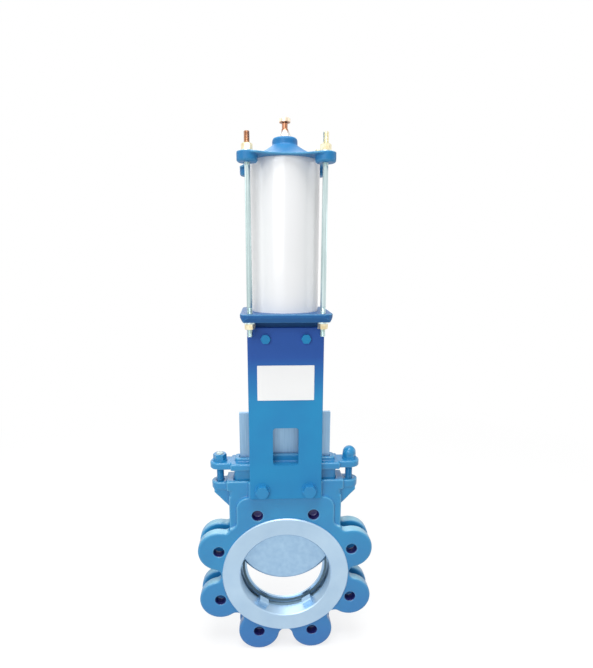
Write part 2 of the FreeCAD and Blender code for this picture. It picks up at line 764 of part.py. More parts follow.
def make_yoke_lower_washers():
    washers = []
    for x in (-lower_bolt_x, lower_bolt_x):
        for low in (yoke_front_y - washer_t, yoke_back_y):
            washers.append(ring_y(lower_thread / 2 + fit_gap, lower_washer_r, low, low + washer_t,
                                  x, lower_bolt_z))
    return group(washers)


def make_yoke_upper_bolts():
    bolts = []
    for x in (-upper_bolt_x, upper_bolt_x):
        bolts.append(hex_bolt(upper_thread, upper_flats, upper_head_h, yoke_front_y,
                              plate_front_y + upper_bolt_depth, x, upper_bolt_z))
        bolts.append(hex_bolt(upper_thread, upper_flats, upper_head_h, yoke_back_y,
                              plate_back_y - upper_bolt_depth, x, upper_bolt_z))
    return group(bolts)


def make_yoke_head():
    """The block between the plates that carries the cylinder, notched for the clevis."""
    half = yoke_w / 2 - edge_round
    low, ceiling = yoke_top_z - head_h, yoke_top_z - head_plate_t
    head = slab(half, plate_front_y, plate_back_y, low, lower_cover_z)
    cuts = [slab(clevis_w / 2 + head_side_gap, plate_front_y, plate_back_y, low, ceiling),
            rod_z(nose_r + fit_gap, ceiling, lower_cover_z)]
    r = upper_thread / 2 + fit_gap
    for x in (-upper_bolt_x, upper_bolt_x):
        cuts.append(rod_y(r, plate_front_y, plate_front_y + upper_bolt_depth, x, upper_bolt_z))
        cuts.append(rod_y(r, plate_back_y - upper_bolt_depth, plate_back_y, x, upper_bolt_z))
    return head.cut(group(cuts))


def make_nameplate():
    plate = slab(nameplate_w / 2, yoke_front_y - nameplate_t, yoke_front_y,
                 nameplate_z - nameplate_h / 2, nameplate_z + nameplate_h / 2)
    return plate.makeFillet(nameplate_corner_r, edges_along(plate, "Y"))


# --- cylinder -------------------------------------------------------------
def cover_plate(z0, z1):
    half = cover_w / 2
    plate = slab(half, mid_y - half, mid_y + half, z0, z1)
    return plate.makeFillet(corner_boss_r, edges_along(plate, "Z"))


def tie_rod_holes(z0, z1):
    r = tie_thread / 2 + tie_hole_gap
    return [rod_z(r, z0, z1, x, y) for x, y in rod_corners]


def oring_centre_r():
    """The O-rings sit in grooves of the covers' spigots and touch the tube's bore."""
    return tube_bore_r - fit_gap - oring_d / 2


def oring_cut(z0):
    """Groove in a cover's spigot whose low side is at z0."""
    groove = (spigot_h - oring_d) / 2
    return ring_z(tube_bore_r - oring_d, tube_r, z0 + groove, z0 + groove + oring_d)


def make_lower_cover():
    top = tube_low_z
    plate = cover_plate(lower_cover_z, top)
    half, bevel = cover_w / 2, cover_bevel_w
    taper = Part.makeLoft([square_ring(half - bevel, lower_cover_z),
                           square_ring(half, lower_cover_z + cover_bevel_h)], True, True)
    upper = slab(half, mid_y - half, mid_y + half, lower_cover_z + cover_bevel_h, top)
    plate = plate.common(joined([taper, upper]))
    nose = rod_z(nose_r, nose_end_z, lower_cover_z)
    spigot = rod_z(tube_bore_r - fit_gap, top, top + spigot_h)
    solid = joined([plate, nose, spigot])
    back = mid_y + cover_w / 2
    port_z = lower_cover_z + lower_cover_t / 2
    cuts = [rod_z(rod_r + bush_wall, nose_end_z, top + spigot_h),
            rod_z(rod_r + seal_wall, rod_seal_z, top + spigot_h),
            rod_z(rod_r + wiper_wall, nose_end_z, nose_end_z + wiper_h),
            oring_cut(top),
            rod_y(port_r_side, back - port_depth, back, 0, port_z),
            rod_y(air_way_r, mid_y + air_way_x, back - port_depth, 0, port_z),
            rod_z(air_way_r, port_z, top + spigot_h, 0, mid_y + air_way_x)]
    return solid.cut(group(cuts + tie_rod_holes(lower_cover_z, top)))


def square_ring(half, z):
    corners = [(-half, -half), (half, -half), (half, half), (-half, half), (-half, -half)]
    return Part.makePolygon([V(x, mid_y + y, z) for x, y in corners])


def make_upper_cover():
    low = tube_high_z
    half = cover_w / 2
    plate = cover_plate(low, cover_top_z)
    chord = tie_rod_x - corner_boss_r + scallop_lap
    r = (chord ** 2 + scallop ** 2) / (2 * scallop)
    reach = half - scallop + r
    for x, y in ((reach, 0), (-reach, 0), (0, reach), (0, -reach)):
        plate = plate.cut(rod_z(r, low, cover_top_z, x, mid_y + y))
    bosses = [rod_z(corner_boss_r, low - corner_boss_drop, corner_top_z, x, y)
              for x, y in rod_corners]
    bosses = [b.makeFillet(edge_round, edges_at(b, "Z", b.BoundBox.ZMin)) for b in bosses]
    rim = half - scallop
    slope = Part.BezierCurve()
    slope.setPoles([V(rim, mid_y, cover_top_z), V(dome_waist, mid_y, cover_top_z + dome_waist_h),
                    V(top_boss_r, mid_y, boss_low_z)])
    dome = Part.Face(Part.Wire([
        Part.makeLine(V(0, mid_y, cover_top_z), V(rim, mid_y, cover_top_z)),
        slope.toShape(),
        Part.makeLine(V(top_boss_r, mid_y, boss_low_z), V(0, mid_y, boss_low_z)),
        Part.makeLine(V(0, mid_y, boss_low_z), V(0, mid_y, cover_top_z))]))
    dome = dome.revolve(V(0, mid_y, 0), V(0, 0, 1), 360)
    boss = rod_z(top_boss_r, boss_low_z, boss_top_z)
    boss = boss.makeFillet(top_boss_round, edges_at(boss, "Z", boss_top_z))
    spigot = rod_z(tube_bore_r - fit_gap, low - spigot_h, low)
    solid = joined([plate, dome, boss, spigot] + bosses)
    cuts = [rod_z(cushion_r, low - spigot_h, low - spigot_h + cushion_h),
            rod_z(air_way_r, low, boss_top_z),
            rod_z(port_r_top, boss_top_z - port_depth_top, boss_top_z),
            oring_cut(low - spigot_h)]
    solid = solid.cut(group(cuts + tie_rod_holes(low - corner_boss_drop, corner_top_z)))
    return solid.cut(ring_z(tube_bore_r - fit_gap, tube_r + slide_gap, low - corner_boss_drop, low))


def make_cylinder_tube():
    return ring_z(tube_bore_r, tube_r, tube_low_z, tube_high_z)


def make_tube_orings():
    r = oring_centre_r()
    heights = (tube_low_z + spigot_h / 2, tube_high_z - spigot_h / 2)
    return group([Part.makeTorus(r, oring_d / 2 - fit_gap, V(0, mid_y, z), V(0, 0, 1)) for z in heights])


def make_tie_rods():
    low = lower_cover_z - tie_below
    high = corner_top_z + tie_above
    rods = []
    for x, y in rod_corners:
        bar = rod_z(tie_thread / 2, low, high, x, y)
        rods.append(bar.makeChamfer(tie_chamfer, edges_at(bar, "Z", low) + edges_at(bar, "Z", high)))
    return group(rods)


def make_tie_washers(z):
    return group([washer(tie_thread, tie_washer_r, x, y, z) for x, y in rod_corners])


def make_tie_nuts(z):
    return group([nut(tie_thread, tie_flats, tie_nut_h, x, y, z) for x, y in rod_corners])


def make_air_fitting():
    """A turned brass nipple: threaded stem, tapered shoulder, neck and flanged end."""
    z, top = boss_top_z, boss_top_z + nipple_h
    stem_r, stem_z = port_r_top - fit_gap, z - nipple_thread_h
    waist_z = z + (nipple_shoulder_h + nipple_neck_z) / 2
    return turned_z([(nipple_bore_r, stem_z), (stem_r, stem_z), (stem_r, z),
                     (nipple_shoulder_r, z), (nipple_shoulder_r, z + nipple_shoulder_h),
                     (nipple_waist_r, waist_z), (nipple_neck_r, z + nipple_neck_z),
                     (nipple_neck_r, z + nipple_cap_low_z), (nipple_cap_r, z + nipple_cap_high_z),
                     (nipple_cap_r, top - nipple_edge), (nipple_cap_r - nipple_edge, top),
                     (nipple_bore_r, top)])


# --- piston, rod and clevis ----------------------------------------------
def piston_grooves():
    """Low side of the two seal grooves, then of the wear ring's groove."""
    land = (piston_t - 2 * piston_seal_h - wear_ring_h) / 4
    first = piston_low_z + land
    wear = first + piston_seal_h + land
    return first, wear + wear_ring_h + land, wear


def make_piston():
    r = tube_bore_r - piston_gap
    first, second, wear = piston_grooves()
    body = rod_z(r, piston_low_z, piston_high_z)
    cuts = [rod_z(rod_thread_r + fit_gap, piston_low_z, piston_high_z),
            ring_z(tube_bore_r - piston_groove, tube_bore_r, first, first + piston_seal_h),
            ring_z(tube_bore_r - piston_groove, tube_bore_r, second, second + piston_seal_h),
            ring_z(tube_bore_r - wear_ring_t, tube_bore_r, wear, wear + wear_ring_h)]
    return body.cut(group(cuts))


def make_piston_seals():
    return group([ring_z(tube_bore_r - piston_groove, tube_bore_r - fit_gap, z, z + piston_seal_h)
                  for z in piston_grooves()[:2]])


def make_wear_ring():
    wear = piston_grooves()[2]
    return ring_z(tube_bore_r - wear_ring_t, tube_bore_r - fit_gap, wear, wear + wear_ring_h)


def make_piston_nut():
    return nut(2 * rod_thread_r, rod_flats, piston_nut_h, 0, mid_y, piston_high_z)


def make_piston_rod():
    low = clevis_slot_z + locknut_gap
    shoulder = clevis_high_z + locknut_h + locknut_gap
    high = piston_high_z + piston_nut_h + thread_end
    return joined([rod_z(rod_thread_r, low, shoulder), rod_z(rod_r, shoulder, piston_low_z),
                   rod_z(rod_thread_r, piston_low_z, high)])


def make_rod_locknut():
    return nut(2 * rod_thread_r, rod_flats, locknut_h, 0, mid_y, clevis_high_z)


def make_rod_bush():
    return ring_z(rod_r + fit_gap, rod_r + bush_wall, nose_end_z + wiper_h, rod_seal_z)


def make_rod_seal():
    return ring_z(rod_r + fit_gap, rod_r + seal_wall, rod_seal_z, rod_seal_z + seal_h)


def make_rod_wiper():
    return ring_z(rod_r + fit_gap, rod_r + wiper_wall, nose_end_z, nose_end_z + wiper_h)


def make_clevis():
    half, depth = clevis_w / 2, clevis_depth / 2
    fork = slab(half, mid_y - depth, mid_y + depth, clevis_low_z, clevis_high_z)
    fork = fork.makeFillet(clevis_round, edges_along(fork, "Y"))
    cuts = [slab(half, gate_front_y - slide_gap, gate_back_y + slide_gap, clevis_low_z, clevis_slot_z),
            rod_y(pin_r + fit_gap, mid_y - depth, mid_y + depth, 0, pin_z),
            rod_z(rod_thread_r + fit_gap, clevis_slot_z, clevis_high_z)]
    return fork.cut(group(cuts))


def make_clevis_pin():
    """The pin's ends stand out of the clevis by a clip and a short tail."""
    reach = clevis_depth / 2 + clip_t + pin_end
    pin = rod_y(pin_r, mid_y - reach, mid_y + reach, 0, pin_z)
    for y in (clip_front_y, clip_back_y):
        pin = pin.cut(ring_y(pin_r - pin_groove, 2 * pin_r, y, y + clip_t, 0, pin_z))
    return pin


def make_clevis_clips():
    """A spring clip in the groove at each end of the pin, open at the bottom."""
    clips = []
    for y in (clip_front_y, clip_back_y):
        clip = ring_y(pin_r - pin_groove, pin_r + clip_stand, y, y + clip_t, 0, pin_z)
        mouth = slab(pin_r / 2, y, y + clip_t, pin_z - 2 * pin_r, pin_z)
        clips.append(clip.cut(mouth))
    return group(clips)


NODES = {
    "body": make_body,
    "inlet_liner": make_inlet_liner,
    "outlet_ring": make_outlet_ring,
    "seat_ring": make_seat_ring,
    "seat_seal": make_seat_seal,
    "gate_wedges": make_gate_wedges,
    "gate_guides": make_gate_guides,
    "gate": make_gate,
    "packing_rings": make_packing_rings,
    "gland": make_gland,
    "gland_studs": make_gland_studs,
    "gland_hex_nut": make_gland_hex_nut,
    "gland_cap_nut": make_gland_cap_nut,
    "gland_washers": make_gland_washers,
    "yoke_plate_front": lambda: make_yoke_plate(yoke_front_y),
    "yoke_plate_rear": lambda: make_yoke_plate(plate_back_y),
    "yoke_lower_bolts": make_yoke_lower_bolts,
    "yoke_lower_washers": make_yoke_lower_washers,
    "yoke_upper_bolts": make_yoke_upper_bolts,
    "yoke_head": make_yoke_head,
    "nameplate": make_nameplate,
    "lower_cover": make_lower_cover,
    "upper_cover": make_upper_cover,
    "cylinder_tube": make_cylinder_tube,
    "tube_orings": make_tube_orings,
    "tie_rods": make_tie_rods,
    "tie_rod_washers_lower": lambda: make_tie_washers(lower_cover_z - washer_t),
    "tie_rod_nuts_lower": lambda: make_tie_nuts(lower_cover_z - washer_t - tie_nut_h),
    "tie_rod_washers_upper": lambda: make_tie_washers(corner_top_z),
    "tie_rod_nuts_upper": lambda: make_tie_nuts(corner_top_z + washer_t),
    "air_fitting": make_air_fitting,
    "piston": make_piston,
    "piston_seals": make_piston_seals,
    "wear_ring": make_wear_ring,
    "piston_nut": make_piston_nut,
    "piston_rod": make_piston_rod,
    "rod_locknut": make_rod_locknut,
    "rod_bush": make_rod_bush,
    "rod_seal": make_rod_seal,
    "rod_wiper": make_rod_wiper,
    "clevis": make_clevis,
    "clevis_pin": make_clevis_pin,
    "clevis_clips": make_clevis_clips,
}

os.makedirs("parts", exist_ok=True)
for node, make in NODES.items():
    save(node, make())
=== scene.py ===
"""Finishes, cast detail and studio for a pneumatic knife gate valve."""
import math

import bpy
from bpy.props import FloatProperty, FloatVectorProperty, IntProperty, PointerProperty
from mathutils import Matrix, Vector, noise


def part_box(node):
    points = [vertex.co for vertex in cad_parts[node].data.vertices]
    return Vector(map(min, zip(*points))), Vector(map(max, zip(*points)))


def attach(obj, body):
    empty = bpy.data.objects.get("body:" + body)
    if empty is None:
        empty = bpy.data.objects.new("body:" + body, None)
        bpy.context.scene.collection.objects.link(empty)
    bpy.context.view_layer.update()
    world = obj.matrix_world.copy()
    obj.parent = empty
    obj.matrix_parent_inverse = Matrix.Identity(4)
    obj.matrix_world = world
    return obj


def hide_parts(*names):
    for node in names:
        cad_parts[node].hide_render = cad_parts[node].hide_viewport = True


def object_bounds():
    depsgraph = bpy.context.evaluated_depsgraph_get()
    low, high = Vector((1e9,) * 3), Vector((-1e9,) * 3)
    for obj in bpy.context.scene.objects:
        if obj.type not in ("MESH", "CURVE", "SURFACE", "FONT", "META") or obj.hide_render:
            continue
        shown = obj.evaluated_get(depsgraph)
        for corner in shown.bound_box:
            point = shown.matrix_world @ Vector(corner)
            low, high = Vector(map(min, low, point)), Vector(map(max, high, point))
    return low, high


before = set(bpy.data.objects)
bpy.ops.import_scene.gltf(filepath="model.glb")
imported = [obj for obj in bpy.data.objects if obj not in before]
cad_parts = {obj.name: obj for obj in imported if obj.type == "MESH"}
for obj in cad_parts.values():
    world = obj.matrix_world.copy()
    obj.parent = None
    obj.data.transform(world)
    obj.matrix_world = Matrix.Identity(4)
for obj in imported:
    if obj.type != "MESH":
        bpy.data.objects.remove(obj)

bl_info = {
    "name": "Knife gate valve",
    "version": (1, 0, 0),
    "blender": (4, 5, 0),
    "location": "3D View > Sidebar > Valve",
    "description": "Surface finishes, cast detail and a studio for a pneumatic knife gate valve",
    "category": "Object",
}

MM = 0.001
WHITE = (1, 1, 1)
CAD_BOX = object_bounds()
BODY, GLAND = "valve_body", "gland_set"
# the lugs' tapped holes
BOLT_COUNT, BOLT_CIRCLE_R, BOLT_HOLE_R = 8, 120 * MM, 8.75 * MM
CHAMBER_R = 92 * MM                 # reach of the machined walls that the gate slides between
FADE = 1 * MM                       # width over which one finish passes into the next
THREAD_DEPTH = 0.6                  # depth of a thread, as a share of its pitch
THREAD_SIDES, THREAD_STEPS = 24, 6  # corners round a threaded bar, and levels to a turn
FINE_RELIEF, FINE_STEP = 0.5, 2.3   # height and closeness of the finer sand grain to the coarse
WAVE_STEP = 2 * math.pi / 20        # scale at which a wave texture repeats once per unit
CREASE = math.radians(50)           # an edge sharper than this stays sharp in smooth shading
FLOOR_SIZE = 20.0
# name, level, width, and place from the valve's middle
LAMPS = (("key_lamp", "key", 1.6, (-0.9, -2.2, 0.9)), ("top_lamp", "top", 1.2, (0.0, -0.5, 1.9)),
         ("left_lamp", "side", 1.2, (-2.2, 0.2, 0.4)), ("right_lamp", "side", 1.2, (2.2, 0.2, 0.4)),
         ("rear_lamp", "back", 1.6, (-0.5, 1.9, 1.5)))


# --- small helpers ----------------------------------------------------------
def linear(hex_colour):
    """An sRGB hex colour as linear red, green and blue."""
    parts = [int(hex_colour[i:i + 2], 16) / 255 for i in (1, 3, 5)]
    return [c / 12.92 if c <= 0.04045 else ((c + 0.055) / 1.055) ** 2.4 for c in parts]


def per(size_mm):
    """Texture scale at which one pattern step measures size_mm."""
    return 1 / (size_mm * MM)


def fill(tree, socket, value):
    """Links a socket, or a node's first output, to a socket, or sets a plain value."""
    if isinstance(value, bpy.types.Node):
        value = next(output for output in value.outputs if output.enabled)
    if isinstance(value, bpy.types.NodeSocket):
        tree.links.new(value, socket)
    else:
        socket.default_value = (*value, 1.0) if socket.type == "RGBA" else value


def add(tree, kind, inputs=None, **settings):
    """Adds a node, sets its own settings, and fills its sockets."""
    made = tree.nodes.new(kind)
    for key, value in settings.items():
        setattr(made, key, value)
    for key, value in (inputs or {}).items():
        fill(tree, made.inputs[key], value)
    return made


def coated(tree, tone, coats):
    """A tone with further colours laid over it, each by its share."""
    for share, colour in coats:
        tone = add(tree, "ShaderNodeMix", {"Factor": share, "A": tone, "B": colour},
                   data_type="RGBA")
    return tone


def new_material(name, surface, **constants):
    """A material with one Principled shader; surface() gives its patterned sockets."""
    material = bpy.data.materials.new(name)
    material.use_nodes = True
    tree = material.node_tree
    shader = tree.nodes["Principled BSDF"]
    for key, value in constants.items():
        shader.inputs[key.replace("_", " ")].default_value = value
    place = add(tree, "ShaderNodeTexCoord").outputs["Object"]
    for key, pattern in surface(tree, place).items():
        fill(tree, shader.inputs[key], pattern)
    return material


def finish_nodes(material, *nodes):
    for node in nodes:
        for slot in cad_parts[node].material_slots:
            slot.material = material


def settle(piece, material, body, slot, *nodes):
    """Gives a new piece its material and body, and lets it stand for its CAD nodes."""
    piece.data.materials.clear()
    piece.data.materials.append(material)
    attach(piece, body)
    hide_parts(*nodes)


def new_piece(name, mesh):
    piece = bpy.data.objects.new(name, mesh)
    bpy.context.scene.collection.objects.link(piece)
    return piece


# --- settings ---------------------------------------------------------------
def colour_prop(name, description, hex_colour):
    return FloatVectorProperty(name=name, description=description, subtype="COLOR",
                               default=linear(hex_colour), min=0, max=1)


def length_prop(name, description, size_mm):
    return FloatProperty(name=name, description=description, subtype="DISTANCE", unit="LENGTH",
                         default=size_mm * MM, min=0, precision=5)


class ValveColours(bpy.types.PropertyGroup):
    enamel: colour_prop("Enamel", "Blue alkyd enamel of the castings and plates", "#288DC2")
    # lighter edge tone: partly enamel run thin, partly painted highlight
    enamel_thin_and_highlight: colour_prop("Thin enamel", "Enamel where it runs thin over an edge", "#7CC4E0")
    # darker tone: a random drift of the enamel, and painted shade in corners
    enamel_deep_and_shade: colour_prop("Deep enamel", "Enamel pooled in corners", "#2B439A")
    # painted highlight on the body's faces that look up
    enamel_top_highlight: colour_prop("Faded enamel", "Enamel bleached on faces that look up", "#9AD2E6")
    # painted shade: the body darker towards the bottom
    enamel_bottom_shade: colour_prop("Low enamel", "Thicker enamel low on the body", "#2A70B6")
    # painted shadow of the lower cover on the yoke's upper part
    enamel_upper_shadow: colour_prop("Royal enamel", "Second coat of the yoke's upper part", "#2A58A8")
    enamel_cover: colour_prop("Cover enamel", "Enamel of the upper cover", "#2A7DB4")
    # painted shade: the lower cover and the yoke head under it
    enamel_cover_shade: colour_prop("Low cover enamel", "Enamel of the lower cover", "#1F6099")
    enamel_cyan: colour_prop("Cyan enamel", "Touched-up enamel of the upper bolts", "#1C8EC6")
    # oiled bare thread, darkened further as painted shade inside the holes
    thread_dark_and_shade: colour_prop("Thread dark", "Oiled threads and bores left bare", "#26246A")
    chamber: colour_prop("Chamber", "Bare machined iron of the gate's chamber", "#7F9AAA")
    tube_white: colour_prop("Tube white", "Stoved enamel of the cylinder tube", "#EFF0F1")
    plate_white: colour_prop("Plate white", "Enamel of the blank nameplate", "#FAFBFB")
    stainless: colour_prop("Stainless", "Turned stainless steel", "#BCD4E6")
    stainless_dull: colour_prop("Stainless, dull", "Duller patches of turned stainless", "#A3BFD8")
    gate_light: colour_prop("Gate, light", "Ground stainless of the gate", "#A9C8E0")
    gate_dull: colour_prop("Gate, dull", "Duller patches of the gate", "#97B7D4")
    gate_greased: colour_prop("Gate, greased", "Gate that has been through the packing", "#6E94B4")
    zinc: colour_prop("Zinc", "Clear zinc plating", "#CBDCDC")
    zinc_dull: colour_prop("Zinc, dull", "Handled zinc plating", "#B4C8C8")
    yellow_zinc: colour_prop("Yellow zinc", "Yellow-passivated zinc", "#EDE6C8")
    yellow_zinc_red: colour_prop("Yellow zinc, red", "Reddish bloom of the passivation", "#D8C8A0")
    # painted warm reflection on the left tie rods' upper ends
    rod_warm_reflection: colour_prop("Rod bloom", "Heat-tinted upper ends of the tie rods", "#B98E74")
    brass: colour_prop("Brass", "Turned brass", "#F0DCC4")
    brass_dark: colour_prop("Brass, tarnished", "Tarnish on the brass", "#A8765C")
    nickel: colour_prop("Nickel", "Nickel left on the nipple's shoulder", "#CFDDE8")
    bronze: colour_prop("Bronze", "Bearing bronze", "#B98A4E")
    chrome: colour_prop("Chrome", "Hard chrome of the piston rod", "#D6D9DC")
    aluminium: colour_prop("Aluminium", "Turned aluminium of the piston", "#CFD2D5")
    rubber: colour_prop("Rubber", "Nitrile rubber", "#1A1A1B")
    seal: colour_prop("Seal", "Grey-green fluoroelastomer of the seat seal", "#5E7683")
    guide: colour_prop("Guide plastic", "Natural polyethylene of the gate guides", "#7F98A6")
    braid: colour_prop("Braid", "Graphited packing braid", "#4A4743")


class ValveSizes(bpy.types.PropertyGroup):
    cast_grain: length_prop("Cast grain", "Spacing of the sand-cast relief", 5.0)
    cast_relief: length_prop("Cast relief", "Height of the sand-cast relief", 0.12)
    body_mesh: length_prop("Body mesh", "Mesh size of the body casting", 1.3)
    small_mesh: length_prop("Small casting mesh", "Mesh size of the gland and the covers", 0.9)
    soften: IntProperty(name="Soften", description="Rounds of smoothing that fillet a casting",
                        default=6, min=0)
    rod_radius: length_prop("Tie rod radius", "Outer radius of a tie rod", 4.0)
    rod_pitch: length_prop("Tie rod pitch", "Thread pitch of the tie rods", 1.25)
    stud_pitch: length_prop("Stud pitch", "Thread pitch of the gland studs", 1.75)
    rod_thread: length_prop("Tie rod thread", "Threaded length at each end of a tie rod", 42.0)


class StageSettings(bpy.types.PropertyGroup):
    distance: length_prop("Distance", "Level distance from the inlet face to the camera", 715.75)
    height: length_prop("Height", "Camera height above the bore axis", 511.07)
    turn: FloatProperty(name="Turn", description="Camera's turn about the valve", subtype="ANGLE",
                        unit="ROTATION", default=math.radians(-2.63))
    tilt: FloatProperty(name="Tilt", description="How far the camera looks down", subtype="ANGLE",
                        unit="ROTATION", default=math.radians(13.8))
    lens: FloatProperty(name="Lens", description="Focal length in millimetres, 36 mm sensor",
                        unit="CAMERA", default=26.14)
    shift: FloatVectorProperty(name="Shift", description="Framing shift, share of the long side",
                               size=2, default=(0.0162, 0.0729))
    ambient: FloatProperty(name="Ambient", description="Light from all round", default=0.26, min=0)
    key: FloatProperty(name="Key", description="Level of the front lamp", default=0.47, min=0)
    top: FloatProperty(name="Top", description="Level of the overhead lamp", default=0.85, min=0)
    side: FloatProperty(name="Side", description="Level of each side lamp", default=0.12, min=0)
    back: FloatProperty(name="Back", description="Level of the rear lamp", default=0.22, min=0)


# --- masks ------------------------------------------------------------------
def along_axis(axis, start, end):
    """A mask that is 0 at start and 1 at end along an axis."""
    def mask(tree, place):
        split = add(tree, "ShaderNodeSeparateXYZ", {"Vector": place})
        return add(tree, "ShaderNodeMapRange", {"Value": split.outputs[axis], "From Min": start,
                                                "From Max": end})
    return mask


def near_bore(start, end):
    """A mask that is 0 at radius start and 1 at radius end about the bore's axis."""
    def mask(tree, place):
        flat = add(tree, "ShaderNodeVectorMath", {0: place, 1: (1, 0, 1)}, operation="MULTIPLY")
        radius = add(tree, "ShaderNodeVectorMath", {0: flat}, operation="LENGTH")
        return add(tree, "ShaderNodeMapRange", {"Value": radius, "From Min": start,
                                                "From Max": end})
    return mask


def both(first, second):
    """A mask that holds only where two masks hold."""
    def mask(tree, place):
        return add(tree, "ShaderNodeMath", {0: first(tree, place), 1: second(tree, place)},
                   operation="MULTIPLY")
    return mask


def looks_up(tree, place):
    """Up to 0.9 on faces that look up."""
    normal = add(tree, "ShaderNodeNewGeometry").outputs["Normal"]
    up = add(tree, "ShaderNodeSeparateXYZ", {"Vector": normal}).outputs["Z"]
    return add(tree, "ShaderNodeMapRange", {"Value": up, "From Min": 0.55, "From Max": 0.95,
                                            "To Max": 0.9})


def in_bolt_holes(tree, place):
    """1 inside the tapped holes, by the distance to the nearest one's axis."""
    flat = add(tree, "ShaderNodeVectorMath", {0: place, 1: (1, 0, 1)}, operation="MULTIPLY")
    nearest = BOLT_CIRCLE_R
    for k in range(BOLT_COUNT):
        turn = (k + 0.5) * 2 * math.pi / BOLT_COUNT
        axis = (BOLT_CIRCLE_R * math.cos(turn), 0, BOLT_CIRCLE_R * math.sin(turn))
        away = add(tree, "ShaderNodeVectorMath", {0: flat, 1: axis}, operation="DISTANCE")
        nearest = add(tree, "ShaderNodeMath", {0: nearest, 1: away}, operation="MINIMUM")
    return add(tree, "ShaderNodeMapRange", {"Value": nearest, "From Min": BOLT_HOLE_R + 1.2 * FADE,
                                            "From Max": BOLT_HOLE_R})


# --- finishes ---------------------------------------------------------------
def enamel(name, colours, tones, grain_mm, relief_mm, roughness, cast=False, layers=(),
           **constants):
    """Alkyd enamel brushed on iron or steel: satin, with a slow drift of tone.

    On castings it is darker in corners, as painted shade, and lighter over edges, partly
    as enamel run thin and partly as painted highlight. layers holds (mask, colour) pairs
    for places that are bare, or that carry painted shade or highlight.
    """
    base, thin_and_highlight = tones

    def surface(tree, place):
        drift = add(tree, "ShaderNodeTexNoise", {"Vector": place, "Scale": per(70), "Detail": 3.0})
        darker = add(tree, "ShaderNodeMapRange", {"Value": drift, "From Min": 0.35,
                                                  "From Max": 0.75, "To Max": 0.22})
        coats = [(darker, colours.enamel_deep_and_shade)]
        if cast:
            # painted shade darkens concave corners; convex edges turn lighter, partly enamel worn
            # thin and partly painted highlight
            bend = add(tree, "ShaderNodeNewGeometry").outputs["Pointiness"]
            crevice_shade = add(tree, "ShaderNodeMapRange", {"Value": bend, "From Min": 0.49,
                                                      "From Max": 0.42, "To Max": 0.8})
            worn = add(tree, "ShaderNodeMapRange", {"Value": bend, "From Min": 0.51,
                                                    "From Max": 0.57, "To Max": 0.7})
            coats += [(crevice_shade, colours.enamel_deep_and_shade), (worn, thin_and_highlight)]
        coats += [(mask(tree, place), colour) for mask, colour in layers]
        grain = add(tree, "ShaderNodeTexNoise", {"Vector": place, "Scale": per(grain_mm),
                                                 "Detail": 4.0})
        peel = add(tree, "ShaderNodeTexNoise", {"Vector": place, "Scale": per(1.3), "Detail": 1.0})
        coarse = add(tree, "ShaderNodeBump", {"Height": grain, "Strength": 0.6,
                                              "Distance": relief_mm * MM})
        fine = add(tree, "ShaderNodeBump", {"Height": peel, "Strength": 0.25, "Distance": 0.03 * MM,
                                            "Normal": coarse})
        rough = add(tree, "ShaderNodeMapRange", {"Value": grain, "To Min": roughness - 0.08,
                                                 "To Max": roughness + 0.08})
        return {"Base Color": coated(tree, base, coats), "Roughness": rough, "Normal": fine}
    return new_material(name, surface, IOR=1.5, Coat_Roughness=0.12, **constants)


def plain_metal(name, light, dark, patch_mm, roughness, layers=()):
    """Plated or turned metal with handled, duller patches, and tones set by height."""
    def surface(tree, place):
        patch = add(tree, "ShaderNodeTexNoise", {"Vector": place, "Scale": per(patch_mm),
                                                 "Detail": 5.0})
        dull = add(tree, "ShaderNodeMapRange", {"Value": patch, "From Min": 0.35, "From Max": 0.65})
        coats = [(dull, dark)] + [(mask(tree, place), colour) for mask, colour in layers]
        rough = add(tree, "ShaderNodeMapRange", {"Value": patch, "To Min": roughness - 0.08,
                                                 "To Max": roughness + 0.12})
        fine = add(tree, "ShaderNodeTexNoise", {"Vector": place, "Scale": per(0.8)})
        bump = add(tree, "ShaderNodeBump", {"Height": fine, "Strength": 0.2, "Distance": 0.02 * MM})
        return {"Base Color": coated(tree, light, coats), "Roughness": rough, "Normal": bump}
    return new_material(name, surface, Metallic=1.0)


def turned_stainless(name, colours):
    """Stainless turned about the bore: concentric tool marks that shift the gloss.

    The marks are drawn 1.6 mm apart so that they show.
    """
    def surface(tree, place):
        flat = add(tree, "ShaderNodeVectorMath", {0: place, 1: (1, 0, 1)}, operation="MULTIPLY")
        radius = add(tree, "ShaderNodeVectorMath", {0: flat}, operation="LENGTH")
        marks = add(tree, "ShaderNodeTexNoise", {"W": radius, "Scale": per(1.6), "Detail": 2.0},
                    noise_dimensions="1D")
        bump = add(tree, "ShaderNodeBump", {"Height": marks, "Strength": 0.5,
                                            "Distance": 0.06 * MM})
        stain = add(tree, "ShaderNodeTexNoise", {"Vector": place, "Scale": per(40), "Detail": 4.0})
        tone = coated(tree, colours.stainless, [(stain, colours.stainless_dull)])
        rough = add(tree, "ShaderNodeMapRange", {"Value": marks, "To Min": 0.32, "To Max": 0.46})
        around = add(tree, "ShaderNodeTangent", direction_type="RADIAL", axis="Y")
        return {"Base Color": tone, "Roughness": rough, "Normal": bump, "Tangent": around}
    return new_material(name, surface, Metallic=1.0, Anisotropic=0.4)


